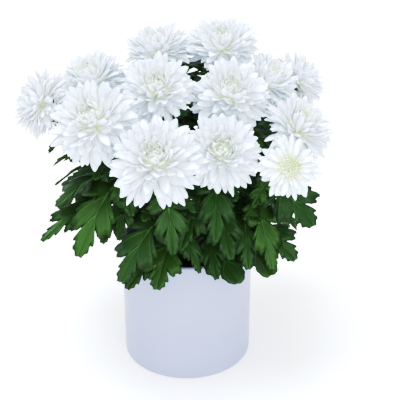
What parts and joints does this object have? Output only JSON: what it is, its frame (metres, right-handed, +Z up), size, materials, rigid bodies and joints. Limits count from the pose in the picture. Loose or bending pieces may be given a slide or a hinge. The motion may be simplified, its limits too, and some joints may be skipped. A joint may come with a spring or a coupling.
{
  "type": "pot chrysanthemum",
  "caption": "Flowering pot plant: white double chrysanthemum blooms on leafy stems, planted in a black grow pot that stands in a plain white cylindrical cover pot.",
  "frame": {"origin": "centre of the cover pot's flat underside", "axes": "+Z up along the pot's axis; -Y is the side that the plant shows best; +X is to the right as seen from there"},
  "size_m": [0.3194, 0.3164, 0.3571],
  "materials": {
    "white_glaze": "satin",
    "black_plastic": "matte",
    "peat": "matte",
    "leaf_green": "satin",
    "petal_white": "matte"
  },
  "bodies": {
    "root": {"cover_pot": "white_glaze", "grow_pot": "black_plastic", "root_ball": "peat", "leafy_stem_01": "leaf_green", "leafy_stem_02": "leaf_green", "leafy_stem_03": "leaf_green", "leafy_stem_04": "leaf_green", "leafy_stem_05": "leaf_green", "leafy_stem_06": "leaf_green", "leafy_stem_07": "leaf_green", "leafy_stem_08": "leaf_green", "leafy_stem_09": "leaf_green", "leafy_stem_10": "leaf_green", "leafy_stem_11": "leaf_green", "leafy_stem_12": "leaf_green", "leafy_stem_13": "leaf_green", "leafy_stem_14": "leaf_green", "leafy_stem_15": "leaf_green", "leafy_stem_16": "leaf_green", "leafy_stem_17": "leaf_green", "leafy_stem_18": "leaf_green", "bloom_01": "petal_white", "bloom_02": "petal_white", "bloom_03": "petal_white", "bloom_04": "petal_white", "bloom_05": "petal_white", "bloom_06": "petal_white", "bloom_07": "petal_white", "bloom_08": "petal_white", "bloom_09": "petal_white", "bloom_10": "petal_white", "bloom_11": "petal_white", "bloom_12": "petal_white", "bloom_13": "petal_white", "bloom_14": "petal_white", "bloom_15": "petal_white", "bloom_16": "petal_white", "bloom_17": "petal_white", "bloom_18": "petal_white"}
  },
  "joints": []
}
